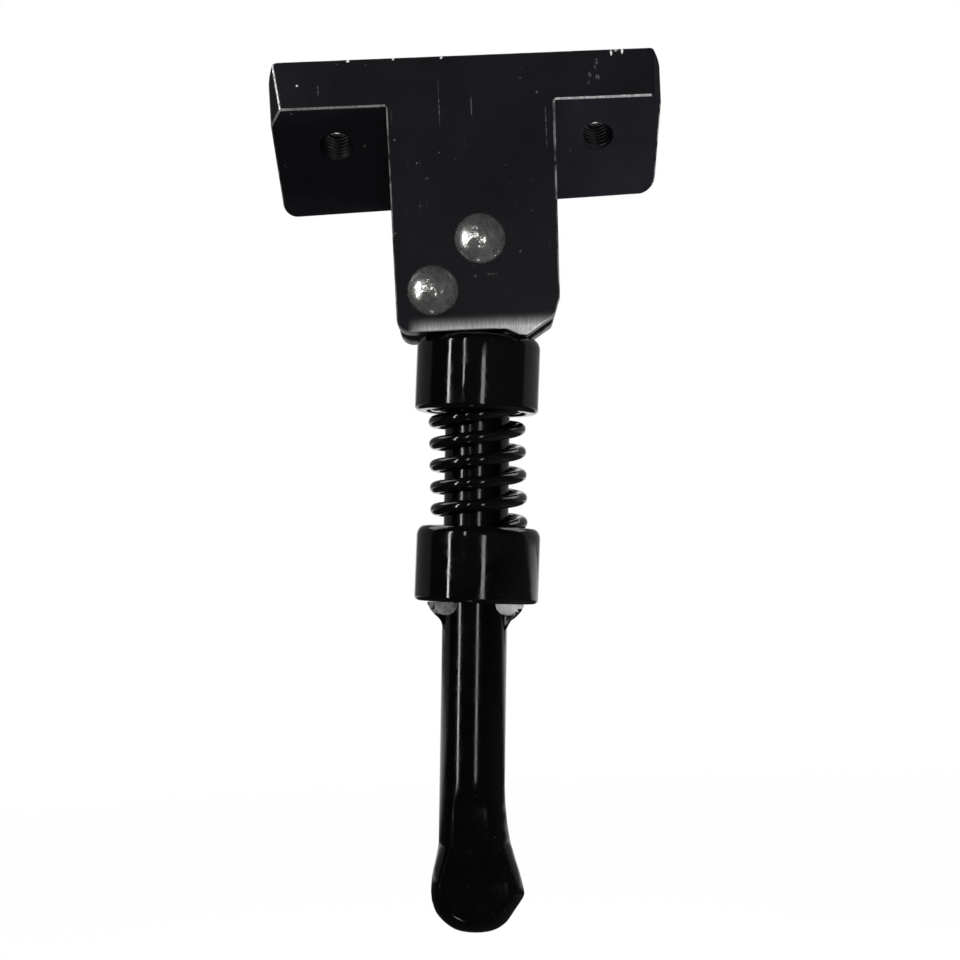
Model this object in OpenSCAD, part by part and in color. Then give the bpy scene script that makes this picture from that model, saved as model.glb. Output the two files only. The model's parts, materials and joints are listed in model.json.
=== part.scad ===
// Kickstand for an electric scooter. The mounting flange faces up and back, the leg hangs down.
// The origin is on the flange's upper face, midway between the two bolt axes.
// X runs to the right, Y to the back and Z up. Lengths are in millimetres, angles in degrees.

/* [Mounting flange] */
// Width of the flange's front, from end to end
flange_w = 96.5; // [86:0.5:110]
// How much shorter the flange is at its back, at each end
flange_draft = 0.5; // [0:0.1:1]
// Angle by which the flange's back edge runs out of square
flange_skew = 1.6; // [0:0.1:2.4]
// Thickness of the flange, square to its faces
flange_t = 9.4; // [8:0.2:12]
// Depth of the whole bracket, front to back
bracket_depth = 26; // [25:0.5:30]
// Slope of the flange, measured from the bracket's front face
deck_angle = 52; // [46:1:58]
// Radius of the flange's corners, seen from above
flange_corner_r = 3.4; // [1:0.2:5]
// Radius of the flange's upper corners, seen from the front
flange_end_r = 2.6; // [1:0.2:4]
// Distance between the two bolt axes
bolt_spacing = 65; // [56:1:74]
// Distance of the bolt axes from the flange's front lower edge, along its lower face
bolt_inset = 11.9; // [9:0.1:16]
// Diameter of the bolt holes before tapping
bolt_tap_d = 6.8; // [5:0.1:8]
// Diameter of the countersunk mouths of the bolt holes
bolt_mouth_d = 8.6; // [8.4:0.1:10]

/* [Clevis stem] */
// Width of the stem at its lower end
stem_w = 40; // [38.5:0.5:42]
// Width of the stem where it meets the flange
stem_top_w = 41.4; // [39.4:0.5:46]
// Distance of the stem's middle to the right of the flange's middle
stem_shift = 1.2; // [0:0.1:2]
// Height of the flange's front lower edge over the pivot
stem_rise = 33.6; // [31:0.2:40]
// Distance of the pivot to the right of the flange's middle
pivot_offset = 2.3; // [1.2:0.1:2.6]
// Thickness of each cheek
cheek_t = 7; // [5:0.1:7.4]
// Height of the slot's closed end over the pivot
slot_rise = 12; // [9.5:0.5:16]
// Distance of the stem's flat lower edge below the pivot
edge_drop = 22.3; // [20.8:0.1:22.3]
// Radius of the stem's lower left corner
stem_corner_r = 3.2; // [1:0.2:5]
// Radius about the pivot that the cam edge stays inside
cam_r = 24.3; // [24.1:0.1:24.4]
// Direction of the cam's nose from straight down
nose_angle = 20.7; // [16:0.1:22]
// Direction of the cam's outer corner from straight down
corner_angle = 38.7; // [32:0.1:44]
// Width of the ramp between the flat lower edge and the nose
ramp_w = 2.8; // [2:0.1:6]

/* [Rivets] */
// Diameter of the pivot rivet's shank
pivot_pin_d = 8; // [6:0.1:9]
// Diameter of the stop rivet's shank
stop_pin_d = 6.3; // [5:0.1:7]
// Distance of the stop rivet to the left of the pivot
stop_left = 12; // [11.8:0.1:12.5]
// Distance of the stop rivet below the pivot
stop_drop = 12.3; // [11.4:0.1:13]
// Diameter of the rivets' domed heads
rivet_head_d = 12.4; // [11:0.1:14]
// Height of the rivets' domed heads
rivet_head_h = 3.4; // [2:0.1:5]

/* [Leg] */
// Diameter of the bar that the leg is made of
leg_d = 16.2; // [15:0.1:16.6]
// Distance from the pivot to the end of the foot
leg_reach = 169.8; // [140:0.1:220]
// Length of the tongue below the pivot
tongue_drop = 27; // [25.5:0.5:36]
// Gap between the tongue and each cheek
tongue_gap = 0.3; // [0.1:0.05:0.6]
// Gap between the leg and the stop rivet at rest
stop_gap = 0.05; // [0.02:0.01:0.2]
// Radial clearance of the leg on the pivot rivet
pivot_gap = 0.05; // [0.02:0.01:0.09]

/* [Foot] */
// Radius of the foot's round outline
foot_r = 11; // [9:0.1:13]
// Thickness of the flattened foot
foot_t = 9.6; // [7:0.1:12]
// Distance of the foot's middle to the right of the bar's axis
foot_offset = 0.9; // [0:0.1:2]
// Reach of the foot's corner to the right of the bar's axis
foot_corner_reach = 13; // [12.4:0.1:15]
// Radius of the foot's corner
foot_corner_r = 1.8; // [1:0.1:3]
// Length of the taper from the round bar to the flat foot
foot_neck = 24; // [18:0.5:30]

/* [Collars] */
// Outer diameter of both collars
collar_d = 30.9; // [29:0.1:32]
// Height of the upper collar
upper_collar_h = 17.1; // [14:0.1:20]
// Height of the lower collar
lower_collar_h = 18.7; // [14:0.1:22]
// Radius of the collars' upper edges
collar_top_r = 3; // [0.5:0.1:4]
// Radius of the collars' lower edges
collar_low_r = 1.2; // [0.5:0.1:2]
// Depth of the recess under the upper collar that takes the end of the spring
recess_h = 2.1; // [1:0.1:4]
// Radial clearance of the spring in that recess
recess_gap = 0.2; // [0.1:0.05:0.5]
// Gap between the cam and the upper collar as the nose passes over it
cam_gap = 0.2; // [0.15:0.05:0.6]
// Radial clearance of the upper collar on the leg
slide_gap = 0.1; // [0.05:0.01:0.3]
// Radial clearance of the lower collar on the leg
seat_gap = 0.03; // [0.02:0.01:0.1]

/* [Ears under the lower collar] */
// Reach of the ears to each side of the bar's axis
ear_reach = 11.9; // [10.6:0.1:13]
// Height of the ears
ear_h = 5.7; // [4:0.1:8]
// Thickness of the ears between the punch marks
ear_t = 6; // [4:0.1:8]
// Diameter of the round punch marks
punch_d = 7.2; // [5:0.1:9]
// Distance of the punch marks from the bar's axis
punch_x = 7.9; // [7:0.1:9]

/* [Spring] */
// Diameter of the spring's wire
wire_d = 3.1; // [2.4:0.1:3.6]
// Outer diameter of the spring
spring_d = 24.3; // [23.8:0.1:25.2]
// Distance between the collars, along the spring
spring_len = 28.6; // [27:0.1:36]
// Number of open turns
open_turns = 4.9; // [3.4:0.1:5.6]
// Part of a turn that lies on the lower collar
flat_turns = 0.2; // [0.1:0.05:0.5]
// Gap between the spring's ends and the collars
spring_gap = 0.05; // [0.02:0.01:0.2]

/* [Hidden] */
$fn = 96;
// Overlap that makes a cut run clean through a face
cut = 1;
// Distance that is past every face of the part
far = 300;

// Flange: heights are over the pivot, and depths are from the clevis' middle plane
front_y = -bracket_depth / 2;
slope_drop = bracket_depth / tan(deck_angle);
skew_y = flange_w / 2 * tan(flange_skew);
flange_front_h = flange_t / sin(deck_angle);
flange_top = stem_rise + flange_front_h;
bolt_low_y = front_y + bolt_inset * sin(deck_angle);
bolt_low_z = stem_rise - bolt_inset * cos(deck_angle);
mouth_depth = (bolt_mouth_d - bolt_tap_d) / 2;

// The pivot, seen from the origin on the flange's upper face
pivot_pos = [
    pivot_offset,
    -bolt_low_y - flange_t * cos(deck_angle),
    -bolt_low_z - flange_t * sin(deck_angle)
];

// Clevis: the stem's sides and the cam's points, seen from the pivot
stem_mid = stem_shift - pivot_offset;
stem_left = stem_mid - stem_w / 2;
stem_right = stem_mid + stem_w / 2;
stem_top_left = stem_mid - stem_top_w / 2;
stem_top_right = stem_mid + stem_top_w / 2;
slot_w = bracket_depth - 2 * cheek_t;
nose_x = cam_r * sin(nose_angle);
nose_z = -cam_r * cos(nose_angle);
corner_x = min(cam_r * sin(corner_angle), stem_right);
corner_z = -sqrt(cam_r * cam_r - corner_x * corner_x);
side_z = -sqrt(cam_r * cam_r - stem_right * stem_right);

// Leg: it leans against the stop rivet at rest
leg_r = leg_d / 2;
stop_reach = norm([stop_left, stop_drop]);
stop_contact = leg_r + stop_pin_d / 2 + stop_gap;
rest_angle = acos(stop_contact / stop_reach) - atan2(stop_drop, stop_left);
tongue_t = slot_w - 2 * tongue_gap;

// Stack along the leg, as distances below the pivot
upper_collar_top = cam_r + cam_gap;
upper_collar_low = upper_collar_top + upper_collar_h;
lower_collar_top = upper_collar_low + spring_len;
lower_collar_low = lower_collar_top + lower_collar_h;
foot_drop = leg_reach - foot_r;
neck_start = foot_drop - foot_neck;
neck_mid = foot_drop - foot_neck / 2;

// Spring: the wire's middle line, from the upper collar's recess to the lower collar
coil_r = (spring_d - wire_d) / 2;
coil_top = upper_collar_low - recess_h + spring_gap + wire_d / 2;
coil_low = lower_collar_top - spring_gap - wire_d / 2;
open_pitch = (coil_low - coil_top) / open_turns;
coil_steps = 32;
wire_sides = 12;

// Moves a child from the pivot's frame to the part's own frame
module at_pivot() {
    translate(pivot_pos)
        children();
}

// Moves a child from the leg's frame, with the bar along -Z, to the part's own frame
module on_leg() {
    at_pivot()
        rotate([0, rest_angle, 0])
            children();
}

// Cylinder with its axis front to back, centred on the clevis' middle plane
module cross_bar(d, length) {
    rotate([90, 0, 0])
        cylinder(d = d, h = length, center = true);
}

// Outline of the stem seen from the front: the slightly tapered sides, the cam edge and the corner
function corner_arc(steps) = [
    for (i = [0:steps])
        let (a = 270 - 90 * i / steps)
        [
            stem_left + stem_corner_r + stem_corner_r * cos(a),
            -edge_drop + stem_corner_r + stem_corner_r * sin(a)
        ]
];
stem_outline = concat(
    [
        [stem_top_left, flange_top],
        [stem_top_right, flange_top],
        [stem_right, side_z],
        [corner_x, corner_z],
        [nose_x, nose_z],
        [nose_x - ramp_w, -edge_drop]
    ],
    corner_arc(12)
);

// Outline of the flange seen from above, from the front left corner
flange_plan = [
    [-flange_w / 2, front_y],
    [flange_w / 2, front_y],
    [flange_w / 2 - flange_draft, -front_y - skew_y],
    [-flange_w / 2 + flange_draft, -front_y + skew_y]
];

// Sections of the flange and of the stem seen from the side, as depth and height
flange_section = [
    [front_y, stem_rise],
    [-3 * front_y, stem_rise - 2 * slope_drop],
    [-3 * front_y, flange_top - 2 * slope_drop],
    [front_y, flange_top]
];
stem_section = [
    [front_y, -far],
    [-front_y, -far],
    [-front_y, flange_top - slope_drop],
    [front_y, flange_top]
];

// Extrudes an outline of X and Z points from front to back
module front_to_back(points, depth) {
    rotate([90, 0, 0])
        linear_extrude(depth, center = true)
            polygon(points);
}

// Extrudes a section of Y and Z points from left to right
module left_to_right(points, width) {
    rotate([90, 0, 90])
        linear_extrude(width, center = true)
            polygon(points);
}

// Points of a round corner at b, between its neighbours a and c on a convex outline
function round_corner(a, b, c, r, steps) =
    let (
        to_a = (a - b) / norm(a - b),
        to_c = (c - b) / norm(c - b),
        half = acos(to_a * to_c) / 2,
        middle = b + (to_a + to_c) / norm(to_a + to_c) * r / sin(half),
        out = b - middle,
        start = atan2(out[1], out[0]) - (90 - half)
    )
    [
        for (i = [0:steps])
            let (angle = start + 2 * (90 - half) * i / steps)
            middle + r * [cos(angle), sin(angle)]
    ];

// Outline with all its corners round, from corners that run counterclockwise
function rounded(corners, r) = [
    for (i = [0:len(corners) - 1])
        let (
            before = corners[(i + len(corners) - 1) % len(corners)],
            after = corners[(i + 1) % len(corners)]
        )
        each round_corner(before, corners[i], after, r, 8)
];

// Rectangle with round corners, centred
module round_rect(w, h, r) {
    square([w - 2 * r, h], center = true);
    square([w, h - 2 * r], center = true);
    for (sx = [-1, 1], sy = [-1, 1])
        translate([sx * (w / 2 - r), sy * (h / 2 - r)])
            circle(r = r);
}

// The sloping flange, centred left to right, with round corners seen from above and from the front
module flange() {
    intersection() {
        left_to_right(flange_section, 2 * flange_w);
        translate([0, 0, -far])
            linear_extrude(2 * far)
                polygon(rounded(flange_plan, flange_corner_r));
        translate([0, 0, flange_top - far / 2])
            rotate([90, 0, 0])
                linear_extrude(4 * bracket_depth, center = true)
                    round_rect(flange_w, far, flange_end_r);
    }
}

// One tapped bolt hole, square to the flange, with a countersunk mouth on each face
module bolt_hole() {
    translate([0, bolt_low_y, bolt_low_z])
        rotate([deck_angle - 90, 0, 0]) {
            translate([0, 0, -far / 4])
                cylinder(d = bolt_tap_d, h = far / 2);
            translate([0, 0, -cut])
                cylinder(d1 = bolt_mouth_d + 2 * cut, d2 = bolt_tap_d, h = mouth_depth + cut);
            translate([0, 0, flange_t - mouth_depth])
                cylinder(d1 = bolt_tap_d, d2 = bolt_mouth_d + 2 * cut, h = mouth_depth + cut);
        }
}

module mount_bracket() {
    color([0.06, 0.06, 0.07])
    at_pivot()
    difference() {
        union() {
            translate([-pivot_offset, 0, 0])
                flange();
            intersection() {
                front_to_back(stem_outline, bracket_depth);
                left_to_right(stem_section, 2 * flange_w);
            }
        }
        translate([-flange_w, -slot_w / 2, -far + slot_rise])
            cube([2 * flange_w, slot_w, far]);
        for (side = [-1, 1])
            translate([side * bolt_spacing / 2 - pivot_offset, 0, 0])
                bolt_hole();
        cross_bar(pivot_pin_d, 2 * bracket_depth);
        translate([-stop_left, 0, -stop_drop])
            cross_bar(stop_pin_d, 2 * bracket_depth);
    }
}

// Round-head rivet through both cheeks, with its axis front to back
module rivet(shank_d) {
    dome_r = (rivet_head_d * rivet_head_d / 4 + rivet_head_h * rivet_head_h) / (2 * rivet_head_h);
    cross_bar(shank_d, bracket_depth);
    for (side = [-1, 1])
        rotate([side * 90, 0, 0])
            translate([0, 0, bracket_depth / 2])
                intersection() {
                    translate([0, 0, rivet_head_h - dome_r])
                        sphere(r = dome_r);
                    cylinder(d = 2 * rivet_head_d, h = rivet_head_h + cut);
                }
}

module pivot_rivet() {
    color([0.7, 0.7, 0.7])
    at_pivot()
        rivet(pivot_pin_d);
}

module stop_rivet() {
    color([0.7, 0.7, 0.7])
    at_pivot()
        translate([-stop_left, 0, -stop_drop])
            rivet(stop_pin_d);
}

// The bar's flattened upper end, round about the pivot
module tongue() {
    intersection() {
        union() {
            cross_bar(leg_d, tongue_t);
            translate([0, 0, -tongue_drop - cut])
                cylinder(d = leg_d, h = tongue_drop + cut);
        }
        translate([-leg_d, -tongue_t / 2, -tongue_drop - cut])
            cube([2 * leg_d, tongue_t, 2 * tongue_drop]);
    }
}

// Point of an ear's outline, as a share of its reach out of the bar and of its height
function ear_point(out, down) = [leg_r + (ear_reach - leg_r) * out, -lower_collar_low - ear_h * down];

// One ear staked out of the bar to the right, under the lower collar
module ear() {
    front_to_back(
        [
            [0, -lower_collar_low],
            ear_point(1, 0),
            ear_point(1, 0.1),
            ear_point(0.8, 0.36),
            ear_point(0.56, 0.53),
            ear_point(0.28, 0.7),
            ear_point(0.08, 0.88),
            ear_point(0, 1),
            [0, -lower_collar_low - ear_h]
        ],
        ear_t
    );
}

// Disc of the flattened foot with a round rim, its axis front to back
module foot_disc(r, t) {
    rotate([90, 0, 0])
        rotate_extrude($fn = 32)
            intersection() {
                union() {
                    translate([r - t / 2, 0])
                        circle(d = t, $fn = 32);
                    translate([0, -t / 2])
                        square([r - t / 2, t]);
                }
                translate([0, -t])
                    square([r, 2 * t]);
            }
}

// The waist between the round bar and the foot
module foot_waist() {
    translate([foot_offset / 2, 0, -neck_mid])
        foot_disc(leg_r + foot_offset / 2, (leg_d + foot_t) / 2);
}

// The bar's end, pressed flat to a spoon with one corner
module foot() {
    hull() {
        translate([0, 0, -neck_start - cut])
            cylinder(d = leg_d, h = cut, $fn = 32);
        foot_waist();
    }
    hull() {
        foot_waist();
        translate([foot_offset, 0, -foot_drop])
            foot_disc(foot_r, foot_t);
        translate([foot_corner_reach - foot_corner_r, 0, -foot_drop - foot_offset])
            cross_bar(2 * foot_corner_r, foot_t / 2, $fn = 32);
    }
}

module leg() {
    color([0.05, 0.05, 0.06])
    on_leg()
    difference() {
        union() {
            tongue();
            translate([0, 0, -neck_start])
                cylinder(d = leg_d, h = neck_start - tongue_drop);
            ear();
            mirror([1, 0, 0])
                ear();
            foot();
        }
        cross_bar(pivot_pin_d + 2 * pivot_gap, leg_d);
        for (side = [-1, 1], face = [-1, 1])
            translate([side * punch_x, face * (ear_t + leg_d) / 2, -lower_collar_low])
                cross_bar(punch_d, leg_d);
    }
}

// Ring with round outer edges, its axis along the leg, from one distance below the pivot to another
module collar(top, low, bore_d) {
    h = low - top;
    wall = (collar_d - bore_d) / 2;
    translate([0, 0, -low])
        rotate_extrude()
            translate([bore_d / 2, 0]) {
                square([wall - collar_top_r, h]);
                square([wall - collar_low_r, h / 2]);
                translate([0, collar_low_r])
                    square([wall, h - collar_low_r - collar_top_r]);
                translate([wall - collar_low_r, collar_low_r])
                    circle(r = collar_low_r);
                translate([wall - collar_top_r, h - collar_top_r])
                    circle(r = collar_top_r);
            }
}

module upper_collar() {
    color([0.04, 0.04, 0.05])
    on_leg()
    difference() {
        collar(upper_collar_top, upper_collar_low, leg_d + 2 * slide_gap);
        translate([0, 0, -upper_collar_low - cut])
            cylinder(d = spring_d + 2 * recess_gap, h = recess_h + cut);
    }
}

module lower_collar() {
    color([0.04, 0.04, 0.05])
    on_leg()
        collar(lower_collar_top, lower_collar_low, leg_d + 2 * seat_gap);
}

// Distance of the wire's middle line below the pivot, a number of turns past the last open one
function coil_drop(turns) = coil_low + open_pitch * min(turns, 0);

// One point on the wire's skin, at a number of turns and an angle around the wire
function wire_point(turns, around) = [
    (coil_r + wire_d / 2 * cos(around)) * cos(-360 * turns),
    (coil_r + wire_d / 2 * cos(around)) * sin(-360 * turns),
    -coil_drop(turns) + wire_d / 2 * sin(around)
];

module spring() {
    rings = round((open_turns + flat_turns) * coil_steps);
    points = [
        for (i = [0:rings], j = [0:wire_sides - 1])
            wire_point(i / coil_steps - open_turns, 360 * j / wire_sides)
    ];
    skin = [
        for (i = [0:rings - 1], j = [0:wire_sides - 1])
            let (next = (j + 1) % wire_sides)
            [
                i * wire_sides + j,
                i * wire_sides + next,
                (i + 1) * wire_sides + next,
                (i + 1) * wire_sides + j
            ]
    ];
    first_end = [for (j = [wire_sides - 1:-1:0]) j];
    last_end = [for (j = [0:wire_sides - 1]) rings * wire_sides + j];
    color([0.05, 0.05, 0.05])
    on_leg()
        polyhedron(points, concat(skin, [first_end, last_end]), convexity = 10);
}

mount_bracket();
pivot_rivet();
stop_rivet();
leg();
upper_collar();
spring();
lower_collar();
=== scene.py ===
import json
import math

import bmesh
import bpy
from mathutils import Matrix, Vector, noise


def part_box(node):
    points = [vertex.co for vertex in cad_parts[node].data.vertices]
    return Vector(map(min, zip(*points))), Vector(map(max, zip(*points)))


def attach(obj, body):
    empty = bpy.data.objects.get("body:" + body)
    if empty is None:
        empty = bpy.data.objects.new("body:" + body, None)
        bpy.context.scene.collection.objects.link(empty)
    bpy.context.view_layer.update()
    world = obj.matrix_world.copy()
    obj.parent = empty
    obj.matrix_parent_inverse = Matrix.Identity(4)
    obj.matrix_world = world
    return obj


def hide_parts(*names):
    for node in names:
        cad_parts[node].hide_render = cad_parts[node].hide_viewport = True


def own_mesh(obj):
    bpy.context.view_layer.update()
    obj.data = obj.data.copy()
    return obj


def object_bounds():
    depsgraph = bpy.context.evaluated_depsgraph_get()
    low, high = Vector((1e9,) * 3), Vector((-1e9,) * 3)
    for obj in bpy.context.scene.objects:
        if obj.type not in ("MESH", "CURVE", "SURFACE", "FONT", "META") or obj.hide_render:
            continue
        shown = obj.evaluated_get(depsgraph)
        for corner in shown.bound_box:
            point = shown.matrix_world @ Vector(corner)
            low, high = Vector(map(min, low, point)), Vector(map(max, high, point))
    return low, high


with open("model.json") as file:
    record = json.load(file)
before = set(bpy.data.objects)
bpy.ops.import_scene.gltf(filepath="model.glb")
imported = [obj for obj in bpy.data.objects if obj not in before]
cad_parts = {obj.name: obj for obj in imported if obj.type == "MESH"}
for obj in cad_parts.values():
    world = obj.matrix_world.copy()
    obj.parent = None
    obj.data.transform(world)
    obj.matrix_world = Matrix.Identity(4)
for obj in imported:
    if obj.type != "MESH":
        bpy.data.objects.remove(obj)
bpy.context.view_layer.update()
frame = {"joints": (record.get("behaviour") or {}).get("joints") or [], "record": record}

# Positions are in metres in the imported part's frame. Shapes are drawn in millimetres, in the pivot's frame or
# in the leg's frame, and MM turns them into metres.
MM = 0.001
SWING = next(j for j in frame["joints"] if j["name"] == "leg_swing")
SLIDE = next(j for j in frame["joints"] if j["name"] == "collar_slide")
PIVOT = Vector(SWING["pos_m"])
LEG_DOWN = Vector(SLIDE["axis"]).normalized()
MOUNTS = frame["record"]["mounts"]
DECK_NORMAL = Vector(next(m for m in MOUNTS if m["name"] == "deck_face")["axis"])

# The leg's frame has its origin on the pivot and the bar along -Z. Both frames are in millimetres.
REST_ANGLE = math.atan2(-LEG_DOWN.x, -LEG_DOWN.z)
TO_METRES = Matrix.Scale(MM, 4)
PIVOT_FRAME = Matrix.Translation(PIVOT) @ TO_METRES
LEG_FRAME = Matrix.Translation(PIVOT) @ Matrix.Rotation(REST_ANGLE, 4, "Y") @ TO_METRES

# Flange and stem, as in the part's source
FLANGE_HALF = 48.25
FLANGE_DRAFT = 0.5
FLANGE_SKEW = math.radians(1.6)
FLANGE_T = 9.4
FRONT_Y = -13.0
STEM_RISE = 33.6
SLOT_HALF = 6.0
SLOT_RISE = 12.0
PIVOT_OFFSET = 2.3
BOLT_INSET = 11.9
TAP_R = 3.4
THREAD_R = 3.95
MOUTH_R = 4.3
THREAD_PITCH = 1.25
EDGE_ROUND = 0.34
INNER_ROUND = 0.5
MIDDLE_X = -PIVOT_OFFSET
FLANGE_TOP = STEM_RISE + FLANGE_T / DECK_NORMAL.z

# Rivets
RIVET_HEAD_R = 6.2
RIVET_HEAD_H = 3.4
PIVOT_SHANK_R = 4.0
STOP_SHANK_R = 3.15
PIVOT_BORE_R = 4.05

# Leg, with distances below the pivot
BAR_R = 8.1
TONGUE_HALF = 5.7
TONGUE_DROP = 27.0
COLLAR_UNDERSIDE = 88.9
EAR_HALF_T = 3.0
PUNCH_R = 3.2
PUNCH_RIGHT = 7.95 + 0.35
PUNCH_LEFT = 7.95 - 0.6
FOOT_END = 170.2
FOOT_CROWN = 7.4
FOOT_ROUND = 13.4

# Collars and spring
COLLAR_R = 15.45
COLLAR_TOP_W, COLLAR_TOP_H = 1.8, 2.6
COLLAR_LOW_R = 1.2
UPPER_COLLAR = (23.1, 41.6)
LOWER_COLLAR = (70.2, 88.9)
COLLAR_BORE_R = 8.55
RECESS_R = 12.5
RECESS_H = 5.3
SEAT_R = 12.65
SEAT_H = 2.6
COLLAR_TILT = math.radians(1.3)
WIRE_R = 1.55
COIL_R = 10.6
COIL_TOP = 41.1
COIL_LOW = 68.6
OPEN_TURNS = 4.9
END_TURNS = 0.16
CLOSED_TURNS = 0.95
CLOSED_RISE = 3.2
# The wire's ends are cut, with a slightly broken rim
END_RIM = 0.8


def add_object(name, mesh):
    """Puts a mesh into the scene as an object at the origin."""
    obj = bpy.data.objects.new(name, mesh)
    bpy.context.scene.collection.objects.link(obj)
    return obj


def mesh_from(name, vertices, faces):
    """A mesh object from points and faces."""
    mesh = bpy.data.meshes.new(name)
    mesh.from_pydata(vertices, [], faces)
    mesh.validate()
    mesh.update()
    return add_object(name, mesh)


def clean_mesh(obj, weld=1e-5):
    """Welds doubled points and turns every face outwards."""
    bm = bmesh.new()
    bm.from_mesh(obj.data)
    bmesh.ops.remove_doubles(bm, verts=bm.verts, dist=weld)
    bmesh.ops.recalc_face_normals(bm, faces=bm.faces)
    bm.to_mesh(obj.data)
    bm.free()


def place_mesh(obj, matrix):
    """Moves an object's mesh from its own millimetre frame into the part's frame."""
    obj.data.transform(matrix)
    obj.data.update()


def apply_modifiers(obj):
    """Bakes an object's modifiers into its mesh."""
    depsgraph = bpy.context.evaluated_depsgraph_get()
    mesh = bpy.data.meshes.new_from_object(obj.evaluated_get(depsgraph))
    obj.modifiers.clear()
    obj.data = mesh


def combine(obj, tool, operation):
    """Joins a tool to an object, or cuts it away, and drops the tool."""
    modifier = obj.modifiers.new("combine", "BOOLEAN")
    modifier.operation = operation
    modifier.solver = "EXACT"
    modifier.object = tool
    apply_modifiers(obj)
    bpy.data.objects.remove(tool)


def shade(obj, sharp_angle=40, weighted=False):
    """Smooth shading with hard edges where the surface turns by more than an angle in degrees."""
    mesh = obj.data
    mesh.polygons.foreach_set("use_smooth", [True] * len(mesh.polygons))
    mesh.set_sharp_from_angle(angle=math.radians(sharp_angle))
    if weighted:
        modifier = obj.modifiers.new("normals", "WEIGHTED_NORMAL")
        modifier.mode = "FACE_AREA"
        modifier.weight = 100
        modifier.keep_sharp = True
        apply_modifiers(obj)


def grid_faces(rows, columns, wrap_rows=False):
    """Quads over a grid of rows by columns of points, closed along the columns."""
    faces = []
    for i in range(rows if wrap_rows else rows - 1):
        for j in range(columns):
            a = i * columns + j
            b = i * columns + (j + 1) % columns
            c = ((i + 1) % rows) * columns + (j + 1) % columns
            d = ((i + 1) % rows) * columns + j
            faces.append((a, b, c, d))
    return faces


def prism(name, first, second):
    """A solid between two outlines with the same number of points."""
    n = len(first)
    faces = [tuple(range(n)), tuple(range(2 * n - 1, n - 1, -1))]
    faces += [(i, (i + 1) % n, (i + 1) % n + n, i + n) for i in range(n)]
    return mesh_from(name, first + second, faces)


def lathe(name, profile, segments=128, closed=False):
    """Turns a profile of (radius, height) points round the local Z axis. A closed profile makes a ring."""
    vertices = []
    for radius, height in profile:
        for j in range(segments):
            turn = 2 * math.pi * j / segments
            vertices.append((radius * math.cos(turn), radius * math.sin(turn), height))
    obj = mesh_from(name, vertices, grid_faces(len(profile), segments, wrap_rows=closed))
    clean_mesh(obj)
    return obj


def arc(cx, cy, radius, start, end, steps):
    """Points on an arc, with angles in degrees."""
    points = []
    for i in range(steps + 1):
        angle = math.radians(start + (end - start) * i / steps)
        points.append((cx + radius * math.cos(angle), cy + radius * math.sin(angle)))
    return points


def rounded(points, radii, steps=8):
    """An outline with each corner rounded by its own radius, where 0 leaves it sharp."""
    result = []
    count = len(points)
    for i in range(count):
        here = Vector(points[i])
        if radii[i] == 0:
            result.append(tuple(here))
            continue
        to_before = (Vector(points[i - 1]) - here).normalized()
        to_after = (Vector(points[(i + 1) % count]) - here).normalized()
        half = to_before.angle(to_after) / 2
        middle = here + (to_before + to_after).normalized() * radii[i] / math.sin(half)
        out = here - middle
        turn = to_before.cross(to_after)
        sweep = math.pi - 2 * half
        side = 1 if turn < 0 else -1
        start = math.atan2(out.y, out.x) - side * sweep / 2
        for k in range(steps + 1):
            angle = start + side * sweep * k / steps
            result.append((middle.x + radii[i] * math.cos(angle), middle.y + radii[i] * math.sin(angle)))
    return result


def interpolate(points, x):
    """Smooth value at x from rising (x, value) points, without overshoot."""
    if x <= points[0][0]:
        return points[0][1]
    if x >= points[-1][0]:
        return points[-1][1]
    slopes = [(b[1] - a[1]) / (b[0] - a[0]) for a, b in zip(points, points[1:])]
    tangents = [slopes[0]]
    for before, after in zip(slopes, slopes[1:]):
        tangents.append(0.0 if before * after <= 0 else 2 * before * after / (before + after))
    tangents.append(slopes[-1])
    i = max(k for k in range(len(points) - 1) if points[k][0] <= x)
    span = points[i + 1][0] - points[i][0]
    t = (x - points[i][0]) / span
    a, b = points[i][1], points[i + 1][1]
    return (
        (2 * t**3 - 3 * t**2 + 1) * a
        + (t**3 - 2 * t**2 + t) * span * tangents[i]
        + (3 * t**2 - 2 * t**3) * b
        + (t**3 - t**2) * span * tangents[i + 1]
    )


def smooth_step(low, high, x):
    """Rises smoothly from 0 at low to 1 at high."""
    t = min(1.0, max(0.0, (x - low) / (high - low)))
    return t * t * (3 - 2 * t)


# Materials


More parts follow.
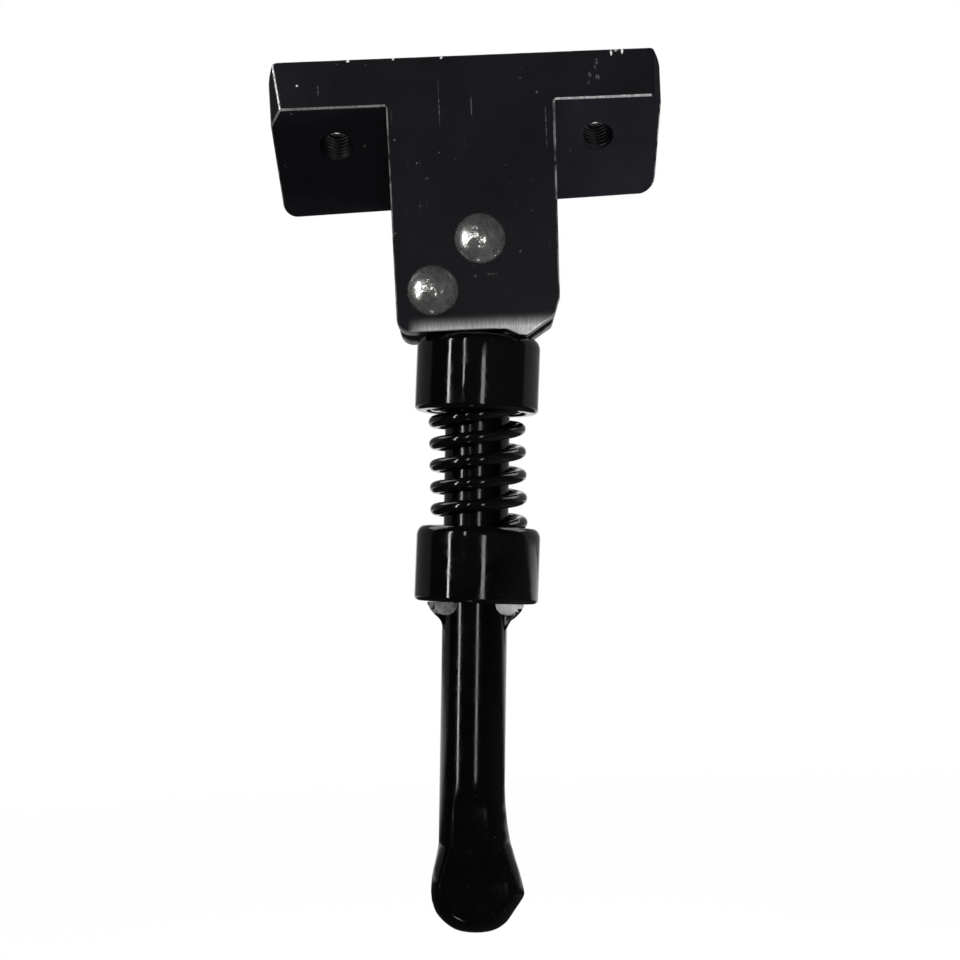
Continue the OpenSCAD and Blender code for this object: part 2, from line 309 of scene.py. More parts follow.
class Nodes:
    """Small helpers for the nodes of one tree. An input takes a value or another node's output."""

    def __init__(self, tree):
        self.tree = tree

    def link(self, source, target):
        self.tree.links.new(source, target)

    def put(self, socket, value):
        """Sets an input, or links it to another node's output."""
        if hasattr(value, "is_output"):
            self.link(value, socket)
        else:
            socket.default_value = value

    def new(self, kind, **inputs):
        node = self.tree.nodes.new(kind)
        for name, value in inputs.items():
            self.put(node.inputs[name.replace("_", " ")], value)
        return node

    def math(self, operation, a, b):
        node = self.new("ShaderNodeMath")
        node.operation = operation
        self.put(node.inputs[0], a)
        self.put(node.inputs[1], b)
        return node.outputs[0]

    def times(self, a, b):
        return self.math("MULTIPLY", a, b)

    def largest(self, a, b):
        return self.math("MAXIMUM", a, b)

    def vector_math(self, operation, a, b):
        node = self.new("ShaderNodeVectorMath")
        node.operation = operation
        self.put(node.inputs[0], a)
        self.put(node.inputs[1], b)
        return node.outputs["Value" if operation in ("LENGTH", "DOT_PRODUCT") else "Vector"]

    def ramp(self, source, low, high, from_value=0.0, to_value=1.0, kind="LINEAR"):
        """Carries low to from_value and high to to_value, and holds both ends."""
        node = self.new("ShaderNodeMapRange", Value=source, From_Min=low, From_Max=high)
        self.put(node.inputs["To Min"], from_value)
        self.put(node.inputs["To Max"], to_value)
        node.interpolation_type = kind
        return node.outputs["Result"]

    def smooth_ramp(self, *values):
        return self.ramp(*values, kind="SMOOTHSTEP")

    def mix_shader(self, factor, first, second):
        node = self.new("ShaderNodeMixShader", Fac=factor)
        self.link(first.outputs[0], node.inputs[1])
        self.link(second.outputs[0], node.inputs[2])
        return node.outputs[0]


# Masks fade over this many millimetres outside their edges
MASK_FADE = 0.2
# A spot is full inside the first share of its half size and gone past the second
SPOT_FULL, SPOT_GONE = 0.75, 1.15
# How fast a spot fades off the front face, per millimetre
SPOT_DEPTH = 0.15


class Paint(Nodes):
    """A material that is built up step by step, with its patterns placed in the part's frame."""

    def __init__(self, name):
        self.material = bpy.data.materials.new(name)
        self.material.use_nodes = True
        super().__init__(self.material.node_tree)
        self.shader = self.tree.nodes["Principled BSDF"]
        self.place = self.new("ShaderNodeTexCoord").outputs["Object"]
        self.last_normal = None

    def set(self, **values):
        for name, value in values.items():
            self.shader.inputs[name.replace("_", " ")].default_value = value

    def feed(self, name, source):
        self.link(source, self.shader.inputs[name])

    def stretched(self, scale):
        return self.new("ShaderNodeMapping", Scale=scale, Vector=self.place).outputs["Vector"]

    def noise(self, scale, detail=4, rough=0.6, vector=None):
        node = self.new("ShaderNodeTexNoise", Scale=scale, Detail=detail, Roughness=rough)
        self.link(vector or self.place, node.inputs["Vector"])
        return node.outputs["Fac"]

    def attribute(self, name):
        node = self.new("ShaderNodeAttribute")
        node.attribute_name = name
        return node.outputs["Fac"]

    def axis(self, name):
        return self.new("ShaderNodeSeparateXYZ", Vector=self.place).outputs[name]

    def depth_past(self, point, normal):
        """Distance in millimetres past a plane that is given in the pivot's frame."""
        offset = self.vector_math("SUBTRACT", self.place, PIVOT_FRAME @ Vector(point))
        along = self.vector_math("DOT_PRODUCT", offset, Vector(normal).normalized())
        return self.times(along, 1 / MM)

    def ramp_x(self, source, low, high, from_value=0.0, to_value=1.0):
        """A ramp between two places across the pivot's frame, in millimetres."""
        return self.ramp(source, PIVOT.x + low * MM, PIVOT.x + high * MM, from_value, to_value)

    def within(self, source, low, high):
        """Mask between two heights or widths of the pivot's frame, in millimetres."""
        start = PIVOT.x if source.name == "X" else PIVOT.z
        above = self.ramp(source, start + (low - MASK_FADE) * MM, start + low * MM)
        below = self.ramp(source, start + (high + MASK_FADE) * MM, start + high * MM)
        return self.times(above, below)

    def spot(self, x, z, wide, high):
        """A soft round mask on the front face, with its half sizes in millimetres."""
        centre = PIVOT_FRAME @ Vector((x, FRONT_Y, z))
        offset = self.vector_math("SUBTRACT", self.place, centre)
        shares = (1 / (wide * MM), SPOT_DEPTH / MM, 1 / (high * MM))
        scaled = self.vector_math("MULTIPLY", offset, shares)
        return self.ramp(self.vector_math("LENGTH", scaled, (0, 0, 0)), SPOT_GONE, SPOT_FULL)

    def mix_value(self, factor, a, b, kind="FLOAT", first=2, out=0):
        node = self.new("ShaderNodeMix")
        node.data_type = kind
        for socket, value in ((0, factor), (first, a), (first + 1, b)):
            self.put(node.inputs[socket], value)
        return node.outputs[out]

    def mix_color(self, factor, a, b):
        return self.mix_value(factor, a, b, "RGBA", 6, 2)

    def bump(self, height, strength, distance):
        """Adds relief on top of the relief that is there, with its distance in metres."""
        node = self.new("ShaderNodeBump", Strength=strength, Distance=distance, Height=height)
        if self.last_normal:
            self.link(self.last_normal, node.inputs["Normal"])
        self.last_normal = node.outputs["Normal"]
        self.feed("Normal", self.last_normal)


def grey(value, warm=0.0):
    """A grey, or a slightly warm one."""
    return (value * (1 + warm), value, value * (1 - warm), 1)


# Chips and scuffs on the bracket's front: place from the pivot and half size, in millimetres
CHIPS = [
    (34.0, 44.7, 0.26, 1.0), (35.2, 45.1, 0.5, 0.35), (36.7, 44.8, 0.28, 0.9),
    (-30.6, 45.0, 0.4, 0.32), (-19.5, 45.1, 0.32, 0.3), (-7.7, 45.0, 0.34, 0.3),
    (-43.3, 39.4, 0.26, 0.26),
]
SCUFFS = [
    (30.3, 42.4, 0.35, 0.9), (29.8, 41.0, 0.3, 0.6), (28.6, 39.4, 0.4, 0.6),
    (30.4, 38.6, 0.5, 0.7), (28.4, 37.3, 0.5, 0.5), (-38.2, 37.9, 0.16, 1.7),
    (-8.7, 33.6, 0.13, 6.4), (-0.8, 32.5, 0.13, 2.9), (17.3, 27.0, 0.14, 5.0),
    (11.4, 39.1, 0.3, 0.3), (15.4, 35.5, 0.3, 0.3), (-1.4, -9.2, 0.4, 0.3),
    (2.6, -8.9, 1.3, 0.22), (-14.3, 8.5, 0.3, 0.4), (13.2, 6.2, 0.3, 0.3),
    (-17.6, -13.2, 0.9, 0.2),
]


PAINT_IOR = 1.36
PAINT_DARK = (0.0042, 0.0042, 0.0058, 1)
PAINT_LIGHT = (0.0064, 0.0064, 0.0088, 1)
# The edge grey is partly wear and partly painted highlight on the rounded edges; the band grey is brushed metal
# with a painted highlight at the cam's edge
MARK_GREY, BAND_GREY, EDGE_WEAR_HIGHLIGHT_GREY, CHIP_GREY = 0.16, 0.6, 0.42, 0.72

# The cam's edge, in the pivot's frame: the height of its flat part, its nose, and the way off its ramp
CAM_FLAT_Z = -22.3
CAM_NOSE = (10.4, FRONT_Y, -24.0)
CAM_RAMP_NORMAL = (4.7, 0, -7.2)
# The brushed band stops short of the stem's left side
BAND_LEFT = -17.0


def marks_mask(paint, grain):
    """Fine scratches that run up and down, specks, and the scuffs in the list."""
    hair = paint.noise(1.0, detail=3, rough=0.7, vector=paint.stretched((2600, 2600, 90)))
    veil = paint.ramp(paint.noise(160, detail=2), 0.5, 0.72)
    scratch = paint.times(paint.ramp(hair, 0.66, 0.74), veil)
    specks = paint.ramp(paint.noise(620, detail=2, rough=0.5), 0.755, 0.79)
    marks = paint.largest(paint.times(scratch, 0.35), paint.times(specks, 0.6))
    for scuff in SCUFFS:
        broken = paint.times(paint.spot(*scuff), grain)
        marks = paint.largest(marks, paint.times(broken, 0.5))
    return marks


def band_mask(paint, brush):
    """The worn and brushed band along the cam's edge, on the front face alone, brightening towards the edge as
    a painted highlight.
    """
    flat_edge = paint.depth_past((0, FRONT_Y, CAM_FLAT_Z), (0, 0, -1))
    ramp_edge = paint.depth_past(CAM_NOSE, CAM_RAMP_NORMAL)
    ramp_band = paint.ramp(ramp_edge, -2.6, -0.1, 0.0, 0.8)
    ramp_band = paint.times(ramp_band, paint.ramp_x(paint.axis("X"), 18.5, 11))
    band = paint.largest(paint.ramp(flat_edge, -3.9, -0.4), ramp_band)
    inner = paint.ramp(paint.depth_past((BAND_LEFT, FRONT_Y, 0), (-1, 0, 0)), 1.5, -2.5)
    # Rising steeply towards the edge, this paints the edge's highlight on top of the brushed wear
    band = paint.times(paint.math("POWER", band, 2.2), inner)
    band = paint.times(band, paint.ramp(brush, 0.3, 0.62, 0.35, 1.0))
    front = paint.ramp(paint.depth_past((0, FRONT_Y, 0), (0, -1, 0)), -0.6, -0.4)
    return paint.times(band, front)


def edge_wear_and_highlight_mask(paint, grain):
    """Lighter rounded edges: patchy thin paint as wear, and plainer lines along three of them that are painted
    highlights; none at the right end.
    """
    wear_and_shine = paint.ramp(paint.noise(210, detail=5), 0.42, 0.62, 0.0, 0.4)
    x, z = paint.axis("X"), paint.axis("Z")
    # The lip and end lines below are painted highlights along the rounded edges; the noise above is wear
    lip = paint.within(z, 32.8, 34.6)
    right_lip = paint.times(lip, paint.ramp_x(x, 19, 20, 0.0, 0.95))
    right_lip = paint.times(right_lip, paint.ramp_x(x, 43.6, 43.2))
    left_lip = paint.times(lip, paint.ramp_x(x, -21, -22, 0.0, 0.5))
    left_end = paint.times(paint.within(x, -50.4, -46.6), paint.within(z, 33.2, 45.0))
    right_end = paint.times(paint.within(x, 43.0, 60), paint.within(z, 32.0, 60))
    wear_and_shine = paint.times(wear_and_shine, paint.ramp(right_end, 0.0, 1.0, 1.0, 0.0))
    for line in (right_lip, left_lip, paint.times(left_end, 0.9)):
        line = paint.times(line, paint.ramp(grain, 0.0, 0.6, 0.55, 1.0))
        wear_and_shine = paint.largest(wear_and_shine, line)
    return paint.times(paint.attribute("rounded_edge"), wear_and_shine)


def chips_mask(paint):
    """The chips in the list, with ragged rims."""
    chips = paint.spot(*CHIPS[0])
    for chip in CHIPS[1:]:
        chips = paint.largest(chips, paint.spot(*chip))
    return paint.times(chips, paint.ramp(paint.noise(900, detail=3), 0.35, 0.5))


def bracket_material():
    """Semi-gloss black paint: worn thin on the edges with painted highlights along three of them, brushed along
    the cam with a painted highlight at its edge, and chipped along the top.
    """
    paint = Paint("bracket_paint")
    paint.set(IOR=PAINT_IOR, Specular_IOR_Level=0.22)
    patches = paint.noise(45, detail=4)
    grain = paint.ramp(paint.noise(1500, detail=2), 0.42, 0.56)
    brush = paint.noise(1.0, detail=4, rough=0.8, vector=paint.stretched((3800, 3800, 260)))
    band = band_mask(paint, brush)
    edge_wear_and_highlight = edge_wear_and_highlight_mask(paint, grain)
    color = paint.mix_color(paint.ramp(patches, 0.3, 0.7), PAINT_DARK, PAINT_LIGHT)
    color = paint.mix_color(marks_mask(paint, grain), color, grey(MARK_GREY))
    # The brushed band, brightest at the cam's edge as a painted highlight
    color = paint.mix_color(band, color, grey(BAND_GREY))
    # The rounded edges are lightened by wear and by painted highlights
    color = paint.mix_color(edge_wear_and_highlight, color, grey(EDGE_WEAR_HIGHLIGHT_GREY))
    color = paint.mix_color(chips_mask(paint), color, grey(CHIP_GREY))
    bare_and_highlight = paint.largest(edge_wear_and_highlight, band)
    paint.feed("Base Color", color)
    paint.feed("Metallic", paint.times(bare_and_highlight, 0.6))
    painted = paint.ramp(patches, 0.25, 0.75, 0.34, 0.44)
    paint.feed("Roughness", paint.mix_value(bare_and_highlight, painted, 0.30))
    paint.bump(paint.noise(1300, detail=2), 0.12, 0.00006)
    paint.bump(brush, 0.05, 0.00004)
    return paint.material


def gloss_material(name, base, roughness, wave, uneven):
    """Glossy black enamel that has flowed unevenly. Uneven is how dull it gets in places."""
    paint = Paint(name)
    paint.set(IOR=PAINT_IOR)
    tone = paint.ramp(paint.noise(70, detail=3), 0.3, 0.7)
    dust = paint.ramp(paint.noise(1500, detail=2, rough=0.5), 0.73, 0.78, 0.0, 0.35)
    color = paint.mix_color(tone, grey(0.7 * base), grey(base))
    paint.feed("Base Color", paint.mix_color(dust, color, grey(0.05)))
    smear = paint.noise(240, detail=4)
    paint.feed("Roughness", paint.ramp(smear, 0.42, 0.66, roughness * 0.8, roughness * uneven))
    paint.bump(paint.noise(150, detail=2, rough=0.4), wave, 0.0004)
    paint.bump(paint.noise(1100, detail=2), 0.06, 0.00005)
    return paint.material


def rivet_material():
    """Bare steel, hammered and dirty."""
    paint = Paint("rivet_steel")
    paint.set(Metallic=0.9)
    blotch = paint.noise(520, detail=5, rough=0.65)
    fine = paint.noise(1900, detail=4, rough=0.7)
    mottle = paint.math("ADD", paint.times(blotch, 0.65), paint.times(fine, 0.35))
    dirt, steel = grey(0.26, 0.03), grey(0.46, 0.02)
    paint.feed("Base Color", paint.mix_color(paint.ramp(mottle, 0.4, 0.58), dirt, steel))
    paint.feed("Roughness", paint.ramp(mottle, 0.38, 0.62, 0.30, 0.20))
    paint.bump(fine, 0.06, 0.00004)
    paint.bump(blotch, 0.10, 0.0001)
    return paint.material


def punch_material():
    """Bare steel that a punch has flattened, darker on the left as painted shade."""
    paint = Paint("punch_metal")
    paint.set(Metallic=0.0)
    blotch = paint.noise(700, detail=5, rough=0.7)
    patches = paint.ramp(blotch, 0.35, 0.65)
    bright = paint.mix_color(patches, grey(0.70), grey(0.95))
    shaded_left = paint.mix_color(patches, grey(0.12), grey(0.38))
    # The left mark takes the darker greys as painted shade
    paint.feed("Base Color", paint.mix_color(paint.ramp(paint.axis("X"), 0.0, 0.004), shaded_left, bright))
    paint.feed("Roughness", paint.ramp(blotch, 0.3, 0.7, 0.55, 0.38))
    paint.bump(paint.noise(1600, detail=3), 0.2, 0.0001)
    return paint.material


BRACKET_PAINT = bracket_material()
LEG_PAINT = gloss_material("leg_paint", base=0.0009, roughness=0.14, wave=0.05, uneven=1.3)
COLLAR_PAINT = gloss_material("collar_paint", base=0.0016, roughness=0.055, wave=0.14, uneven=2.6)
SPRING_COAT = gloss_material("spring_coat", base=0.0020, roughness=0.10, wave=0.03, uneven=1.3)
RIVET_STEEL = rivet_material()
PUNCH_METAL = punch_material()


def finish_piece(obj, body, slot, materials, *replaced):
    """Gives a piece its materials, its body and the CAD nodes that it stands for."""
    kept = [p.material_index for p in obj.data.polygons]
    obj.data.materials.clear()
    for material in materials:
        obj.data.materials.append(material)
    for polygon, index in zip(obj.data.polygons, kept):
        polygon.material_index = min(index, len(materials) - 1)
    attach(obj, body)
    if replaced:
        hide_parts(*replaced)


# Bracket, in the pivot's frame

DECK_POINT = Vector((MIDDLE_X, FRONT_Y, FLANGE_TOP))
UNDER_POINT = Vector((MIDDLE_X, FRONT_Y, STEM_RISE))

# The stem seen from the front. The cam's nose and corner are as in the photograph, up to 1.7 mm further out
# than in the CAD, and meet the upper collar in mid-swing unless it is down.
STEM_OUTLINE = [
    (-21.8, FLANGE_TOP), (19.6, FLANGE_TOP), (18.9, -15.4), (17.6, -19.3),
    (CAM_NOSE[0], CAM_NOSE[2]), (8.6, -23.8), (5.4, CAM_FLAT_Z), (-21.1, CAM_FLAT_Z),
]
STEM_RADII = [0, 0, 1.6, 1.6, 0.9, 0.9, 1.6, 3.2]


# Rounds of the flange's corners at the back and along the deck
BACK_ROUND_LEFT = 3.4
BACK_ROUND_RIGHT = 4.0
DECK_ROUND = 2.6
# Chamfers of its front corners: how far they run back, and their widths at the underside and the deck
CHAMFER_BACK = 1.5
CHAMFER_LEFT_LOW, CHAMFER_LEFT_HIGH = 2.8, 1.2
CHAMFER_RIGHT_LOW, CHAMFER_RIGHT_HIGH = 1.9, 1.5
# The block that the flange is cut out of, and the one that cuts the slot
BLANK_SIZE = 200.0
SLOT_REACH = 60
# An edge this sharp gets a round, in degrees, which the paint lightens as wear and painted highlight
SHARP_ANGLE = 28


def bisect(bm, point, normal):
    """Keeps the part of a convex solid that lies behind a plane."""
    geometry = bm.verts[:] + bm.edges[:] + bm.faces[:]
    result = bmesh.ops.bisect_plane(
        bm, geom=geometry, dist=1e-5, plane_co=point, plane_no=normal, clear_outer=True
    )
    edges = [e for e in result["geom_cut"] if isinstance(e, bmesh.types.BMEdge)]
    if edges:
        bmesh.ops.contextual_create(bm, geom=edges)


def plane_through(a, b, c):
    """Point and normal of the plane through three points, seen counterclockwise from outside."""
    a, b, c = Vector(a), Vector(b), Vector(c)
    return a, (b - a).cross(c - a).normalized()


def round_edges(bm, edges, radius, segments):
    """Rounds edges and gives the new faces."""
    return bmesh.ops.bevel(
        bm, geom=edges, offset=radius, offset_type="OFFSET", segments=segments, profile=0.5,
        affect="EDGES", clamp_overlap=False,
    )["faces"]


def edges_between(bm, first, second, limit=0.97):
    """Edges between a face that looks along one direction and a face that looks along another."""
    first, second = Vector(first).normalized(), Vector(second).normalized()
    found = []
    for edge in bm.edges:
        if len(edge.link_faces) == 2:
            a, b = (f.normal for f in edge.link_faces)
            if any(p.dot(first) > limit and q.dot(second) > limit for p, q in ((a, b), (b, a))):
                found.append(edge)
    return found


def make_flange():
    """The sloping flange, with its front corners chamfered and its other corners round."""
    left = MIDDLE_X - FLANGE_HALF
    right = MIDDLE_X + FLANGE_HALF
    bm = bmesh.new()
    bmesh.ops.create_cube(bm, size=BLANK_SIZE)
    bisect(bm, Vector((0, FRONT_Y, 0)), Vector((0, -1, 0)))
    bisect(bm, DECK_POINT, DECK_NORMAL)
    bisect(bm, UNDER_POINT, -DECK_NORMAL)
    slant = FLANGE_DRAFT / (-2 * FRONT_Y)
    bisect(bm, Vector((left, FRONT_Y, 0)), Vector((-1, slant, 0)).normalized())
    bisect(bm, Vector((right, FRONT_Y, 0)), Vector((1, slant, 0)).normalized())
    bisect(bm, Vector((MIDDLE_X, -FRONT_Y, 0)), Vector((math.tan(FLANGE_SKEW), 1, 0)).normalized())
    bm.normal_update()
    back = (0, 1, 0)
    for side, radius in ((-1, BACK_ROUND_LEFT), (1, BACK_ROUND_RIGHT)):
        round_edges(bm, edges_between(bm, (side, 0, 0), back), radius, 12)
        bm.normal_update()
    for side in (-1, 1):
        round_edges(bm, edges_between(bm, (side, 0, 0), DECK_NORMAL), DECK_ROUND, 10)
        bm.normal_update()
    low, high = STEM_RISE, FLANGE_TOP
    bisect(bm, *plane_through(
        (left, FRONT_Y + CHAMFER_BACK, high), (left + CHAMFER_LEFT_LOW, FRONT_Y, low),
        (left + CHAMFER_LEFT_HIGH, FRONT_Y, high),
    ))
    bisect(bm, *plane_through(
        (right - CHAMFER_RIGHT_HIGH, FRONT_Y, high), (right - CHAMFER_RIGHT_LOW, FRONT_Y, low),
        (right, FRONT_Y + CHAMFER_BACK, high),
    ))
    bmesh.ops.recalc_face_normals(bm, faces=bm.faces)
    mesh = bpy.data.meshes.new("flange")
    bm.to_mesh(mesh)
    bm.free()
    return add_object("bracket_body", mesh)


def make_stem():
    """The stem with the cam edge, ending inside the flange."""
    outline = rounded(STEM_OUTLINE, STEM_RADII)
    obj = prism("stem", *([(x, y, z) for x, z in outline] for y in (FRONT_Y, -FRONT_Y)))
    bm = bmesh.new()
    bm.from_mesh(obj.data)
    bmesh.ops.recalc_face_normals(bm, faces=bm.faces)
    bisect(bm, DECK_POINT - 3 * DECK_NORMAL, DECK_NORMAL)
    bmesh.ops.recalc_face_normals(bm, faces=bm.faces)
    bm.to_mesh(obj.data)
    bm.free()
    return obj


def make_block(low, high):
    """A plain block between two corners."""
    bm = bmesh.new()
    bmesh.ops.create_cube(bm, size=1.0)
    low, high = Vector(low), Vector(high)
    for vertex in bm.verts:
        vertex.co = Vector(low[i] if vertex.co[i] < 0 else high[i] for i in range(3))
    mesh = bpy.data.meshes.new("block")
    bm.to_mesh(mesh)
    bm.free()
    return add_object("block", mesh)


def bolt_frames():
    """Frame of each bolt hole: its origin is on the underside and its Z axis is the hole's axis."""
    turn = DECK_NORMAL.to_track_quat("Z", "Y").to_matrix().to_4x4()
    along = Vector((0, DECK_NORMAL.z, -DECK_NORMAL.y))
    frames = []
    for mount in MOUNTS:
        if mount["kind"] == "threaded_hole":
            x = mount["pos_m"][0] / MM + MIDDLE_X
            start = Vector((x, FRONT_Y, STEM_RISE)) + along * BOLT_INSET
            frames.append(Matrix.Translation(start) @ turn)
    return frames


# The drill starts and ends this far outside the flange
DRILL_PAST = 5
# Depths below the deck face at which the threaded part ends and the plain end starts
THREAD_STOP, PLAIN_START = 1.3, 0.9
MOUTH_MARGIN = 0.3


def cut_bolt_hole(obj, hole):
    """A countersunk hole at the thread's outer size, with a plain end at the deck."""
    profile = [
        (0, -DRILL_PAST), (MOUTH_R + DRILL_PAST, -DRILL_PAST), (MOUTH_R, 0),
        (THREAD_R, MOUTH_R - THREAD_R), (THREAD_R, FLANGE_T - THREAD_STOP),
        (TAP_R, FLANGE_T - PLAIN_START), (TAP_R, FLANGE_T + DRILL_PAST), (0, FLANGE_T + DRILL_PAST),
    ]
    tool = lathe("tool", profile, segments=96)
    tool.data.transform(hole)
    combine(obj, tool, "DIFFERENCE")


def near_bolt(point, holes):
    """Whether a point lies on the rim of a bolt hole, whose edges are neither rounded nor lightened by the edge
    paint.
    """
    return any(
        Vector((local.x, local.y)).length < MOUTH_R + MOUTH_MARGIN
        for local in (hole.inverted() @ point for hole in holes)
    )


def make_bracket():
    """Flange and stem in one, slotted and drilled, with soft inner corners and rounded outer edges, whose faces
    the paint lightens as wear and painted highlight.
    """
    obj = make_flange()
    combine(obj, make_stem(), "UNION")
    slot = make_block((-SLOT_REACH, -SLOT_HALF, -SLOT_REACH), (SLOT_REACH, SLOT_HALF, SLOT_RISE))
    combine(obj, slot, "DIFFERENCE")
    holes = bolt_frames()
    for hole in holes:
        cut_bolt_hole(obj, hole)
    bm = bmesh.new()
    bm.from_mesh(obj.data)
    bmesh.ops.remove_doubles(bm, verts=bm.verts, dist=1e-3)
    bmesh.ops.dissolve_limit(bm, angle_limit=math.radians(0.15), verts=bm.verts, edges=bm.edges)
    bm.normal_update()
    inner = [
        e
        for side in ((-1, 0, 0), (1, 0, 0))
        for e in edges_between(bm, side, -DECK_NORMAL)
        if not e.is_convex
    ]
    round_edges(bm, inner, INNER_ROUND, 6)
    bm.normal_update()
    rounded_layer = bm.faces.layers.float.new("rounded_edge")
    sharp = [
        e
        for e in bm.edges
        if len(e.link_faces) == 2
        and e.is_convex
        and e.calc_face_angle() > math.radians(SHARP_ANGLE)
        and not near_bolt((e.verts[0].co + e.verts[1].co) / 2, holes)
    ]
    # These round faces take the lighter edge paint: wear and painted highlight
    for face in round_edges(bm, sharp, EDGE_ROUND, 3):
        face[rounded_layer] = 1.0
    bmesh.ops.recalc_face_normals(bm, faces=bm.faces)
    bm.to_mesh(obj.data)
    bm.free()
    shade(obj, 35, weighted=True)
    place_mesh(obj, PIVOT_FRAME)
    finish_piece(obj, "bracket", "bracket_paint", [BRACKET_PAINT], "mount_bracket")
    for name, hole in zip(("thread_left", "thread_right"), holes):
        make_thread(name, hole)


# The thread's ridge, as shares of the pitch, and how far its foot is sunk into the wall
ROOT_SHARE, CREST_SHARE = 0.46, 0.07
RIDGE_SINK = 0.02
# Where the thread starts, the lowest that it reaches, and what the flange has above it
THREAD_START, THREAD_LOWEST, THREAD_ABOVE = 0.3, 0.04, 1.25
# The ridge grows over 1 / FADE_IN of a turn and dies out over 1 / FADE_OUT
FADE_IN, FADE_OUT = 4, 3


def make_thread(name, hole):
    """The ridge of a screw thread on a bolt hole's wall."""
    steps = 48
    half_root = ROOT_SHARE * THREAD_PITCH
    half_crest = CREST_SHARE * THREAD_PITCH
    root_r = THREAD_R + RIDGE_SINK
    section = [(root_r, -half_root), (TAP_R, -half_crest), (TAP_R, half_crest), (root_r, half_root)]
    rings = int((FLANGE_T - THREAD_ABOVE) / THREAD_PITCH * steps) + 1
    vertices = []
    for i in range(rings):
        turn = math.pi + 2 * math.pi * i / steps
        fade = min(1.0, i / steps * FADE_IN, (rings - 1 - i) / steps * FADE_OUT)
        for radius, height in section:
            reach = root_r + (radius - root_r) * fade
            rise = max(THREAD_LOWEST, THREAD_START + THREAD_PITCH * i / steps + height)
            vertices.append((reach * math.cos(turn), reach * math.sin(turn), rise))
    faces = grid_faces(rings, len(section))
    faces.append(tuple(range(len(section))))
    faces.append(tuple(reversed(range((rings - 1) * len(section), rings * len(section)))))
    obj = mesh_from(name, vertices, faces)
    clean_mesh(obj)
    shade(obj)
    place_mesh(obj, PIVOT_FRAME @ hole)
    finish_piece(obj, "bracket", "bracket_paint", [BRACKET_PAINT])


# Rivets

# The dome's profile is (1 - share ** DOME_IN) ** DOME_OUT, with the share of the head's radius
DOME_IN, DOME_OUT = 1.55, 0.7
DOME_STEPS = 40
# The head's underside lies this far in the cheek, and the crown is lowered by FLATTENED
HEAD_SINK = 0.3
FLATTENED = 0.05
# Hammer marks: depth, scale, and the shares of the radius between which they fade out
DENTS = [(0.13, 0.75, 0.35, 0.8), (0.04, 1.9, 0.35, 0.8), (0.01, 3.4, 0.5, 0.85)]


def make_rivet(node, name, shank_r, seed):
    """A shank with a dome at each end, dented by the hammer in the middle."""
    low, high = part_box(node)
    centre = (Vector(low) + Vector(high)) / 2
    half = (high[1] - low[1]) / 2 / MM - RIVET_HEAD_H
    under = half - HEAD_SINK
    dome = []
    for i in range(DOME_STEPS + 1):
        share = 1 - i / DOME_STEPS
        dome.append((RIVET_HEAD_R * share, half + RIVET_HEAD_H * (1 - share**DOME_IN) ** DOME_OUT))
    profile = [(shank_r, 0), (shank_r, under), (RIVET_HEAD_R, under)] + dome
    profile = [(r, -z) for r, z in reversed(profile[1:])] + profile[1:]
    obj = lathe(name, profile, segments=160)
    for vertex in obj.data.vertices:
        x, y, z = vertex.co
        if abs(z) < half + 0.05:
            continue
        reach = math.hypot(x, y) / RIVET_HEAD_R
        end = math.copysign(1, z)
        place = Vector((x, y, seed + 7 * end))
        dent = sum(
            depth * (1 - smooth_step(inner, outer, reach)) * noise.noise(place * scale)
            for depth, scale, inner, outer in DENTS
        )
        middle = 1 - smooth_step(DENTS[0][2], DENTS[0][3], reach)
        vertex.co.z -= end * (dent + FLATTENED * middle)
    shade(obj, 50)
    turn = Matrix.Rotation(math.radians(90), 4, "X")
    place_mesh(obj, Matrix.Translation(centre) @ turn @ TO_METRES)
    finish_piece(obj, "bracket", "rivet_steel", [RIVET_STEEL], node)


# Leg, in the leg's frame. Distances are below the pivot, and widths are from the bar's axis.

EAR_LEFT = [
    (0, 11.9), (89.4, 11.75), (89.9, 11.42), (90.6, 11.05), (91.4, 10.44), (92.1, 9.75), (92.8, 8.97),
    (93.6, 8.35), (94.9, 7.9), (96, 7.5),
]
EAR_RIGHT = [
    (0, 12.2), (89.6, 12.15), (90.3, 11.85), (91.1, 11.42), (91.8, 10.81), (92.6, 10.01), (93.3, 9.05),
    (94.2, 8.5), (95.2, 8.0), (96, 7.5),
]
FOOT_LEFT = [
    (134, 8.1), (148, 8.08), (150.3, 8.38), (152.8, 8.85), (155.2, 9.36), (157.7, 9.69), (160.1, 9.8),
    (162.6, 9.55),
]
FOOT_RIGHT = [
    (134, 8.1), (137.8, 8.25), (140.2, 8.5), (142.7, 8.75), (145.2, 9.15), (147.6, 9.6), (150, 10.35),
    (152.5, 11.1), (154.9, 11.9), (157.4, 12.62), (159.6, 13.15), (160.5, 13.28), (161.3, 13.05),
    (162.3, 12.45),
]
# Past here the widths are given over the square root of the distance to the foot's end
TOE = 162.4
TOE_LEFT = [(0, -1.4), (0.63, 2.6), (0.95, 4.0), (1.27, 5.2), (1.67, 6.7), (2.28, 8.65), (2.79, 9.58)]
TOE_RIGHT = [
    (0, 1.4), (0.71, 5.3), (1.0, 6.6), (1.34, 7.9), (1.73, 9.2), (2.05, 10.05), (2.34, 10.87),
    (2.59, 11.68), (2.79, 12.4),
]
# Half thickness that the foot is pressed to
FLAT_DEPTH = [
    (120, 14), (130, 10.5), (134, 8.7), (136.5, 7.6), (138.6, 7.1), (142, 7.0), (147, 6.75), (152, 5.6),
    (157, 4.8),
]
# The higher, the sharper the turn from the bar to the flat, and from the ear's side to its face
FOOT_CREASE = 22
EAR_CREASE = 30
EAR_MARGIN = 0.35
# The ears end at this distance, and only reach out where the cosine is over this
EAR_END = 96
EAR_SIDE = 0.2
